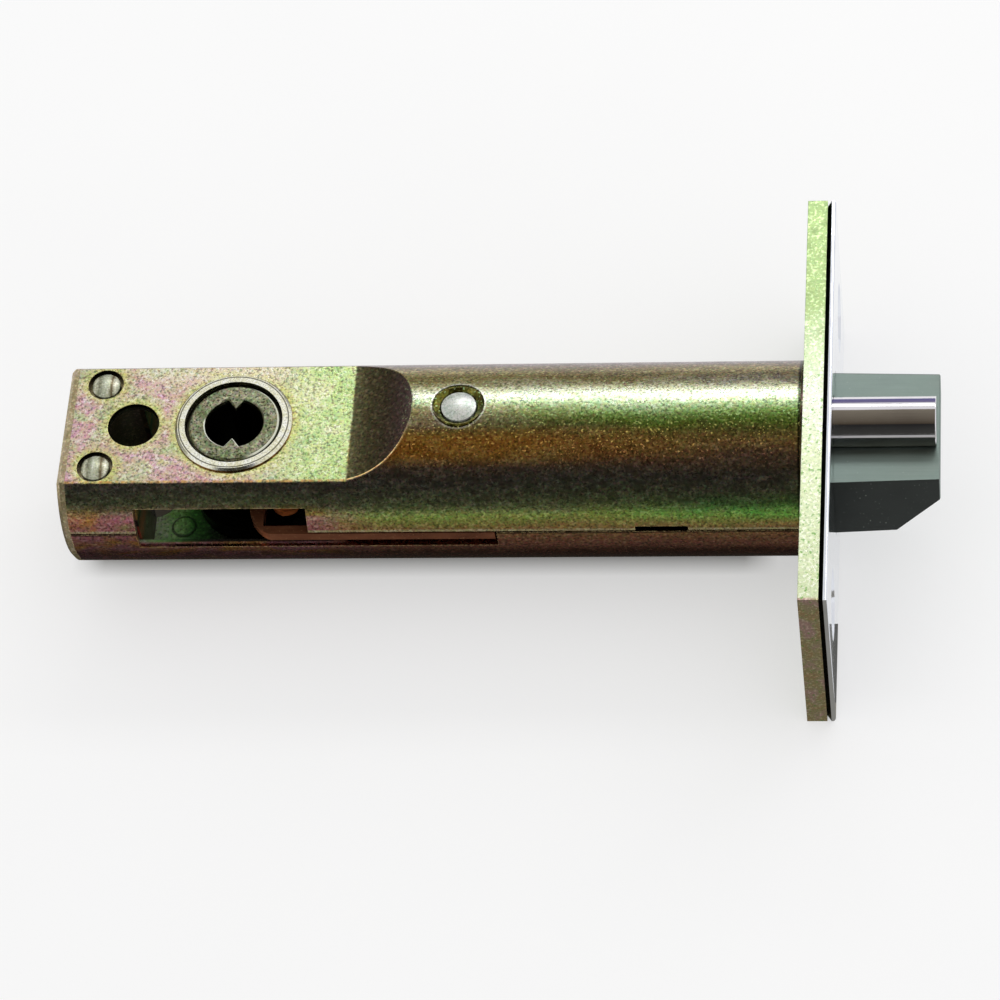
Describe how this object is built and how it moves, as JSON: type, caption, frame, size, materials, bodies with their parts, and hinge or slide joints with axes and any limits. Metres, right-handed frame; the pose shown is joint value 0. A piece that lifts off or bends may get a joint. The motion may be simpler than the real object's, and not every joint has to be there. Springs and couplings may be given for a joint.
{
  "type": "door latch",
  "caption": "Tubular door latch with a rolled tube case, rectangular faceplate, bevelled spring bolt, dead-locking plunger, turning hub and sliding retractor.",
  "frame": {"origin": "middle of the plate's back face, on the tube's axis", "axes": "+X along the tube toward the bolt's tip, +Z square to the two flats and along the hub's axis, +Y along the plate's height"},
  "size_m": [0.1035, 0.0572, 0.0254],
  "materials": {
    "case_zinc": "yellow-passivated zinc plate, faintly iridescent",
    "plug_zinc": "yellow-passivated zinc plate, worn",
    "rivet_steel": "bright staked steel",
    "plate_zinc": "yellow-passivated zinc plate, pale",
    "face_chrome": "polished chrome",
    "bush_zinc": "bright zinc plate",
    "inner_zinc": "zinc plate",
    "inner_steel": "plain steel",
    "spring_steel": "drawn spring wire",
    "hub_sintered": "sintered steel, zinc plated",
    "retractor_steel": "bronze-tinted pressed steel",
    "bolt_satin": "satin nickel plate",
    "plunger_chrome": "polished chrome"
  },
  "bodies": {
    "case": {"case_tube": "case_zinc", "end_plug": "plug_zinc", "rear_rivets": "rivet_steel", "back_plate": "plate_zinc", "face_plate": "face_chrome", "hub_bush_upper": "bush_zinc", "hub_bush_lower": "bush_zinc", "spring_stop": "inner_zinc", "stop_rivet": "rivet_steel", "bolt_guide": "inner_zinc", "deadlock_pawl": "inner_steel", "pawl_pin": "inner_steel", "pawl_spring": "spring_steel", "bolt_spring": "spring_steel", "plunger_spring": "spring_steel"},
    "hub": {"hub": "hub_sintered"},
    "retractor": {"retractor": "retractor_steel"},
    "bolt": {"latch_bolt": "bolt_satin", "bolt_tail": "retractor_steel", "tail_pin": "inner_steel"},
    "plunger": {"plunger": "plunger_chrome", "plunger_rod": "inner_steel"}
  },
  "joints": [
    {"name": "bolt_slide", "type": "slide", "parent": "case", "child": "bolt", "axis": [-1, 0, 0], "range_m": [0, 0.012], "stiffness_N_per_m": 300, "springref_m": -0.008, "deforming": ["bolt_spring"]},
    {"name": "hub_turn", "type": "hinge", "parent": "case", "child": "hub", "pos_m": [-0.06735, 0, 0], "axis": [0, 0, -1], "range_deg": [0, 90]},
    {"name": "retractor_slide", "type": "slide", "parent": "case", "child": "retractor", "axis": [-1, 0, 0], "range_m": [0, 0.012]},
    {"name": "plunger_slide", "type": "slide", "parent": "case", "child": "plunger", "axis": [-1, 0, 0], "range_m": [0, 0.0116], "stiffness_N_per_m": 120, "springref_m": -0.006, "deforming": ["plunger_spring"]}
  ],
  "couplings": [
    {"joint": "hub_turn", "follows": "bolt_slide", "rad_per_m": 130.89},
    {"joint": "retractor_slide", "follows": "bolt_slide", "ratio": 1}
  ]
}
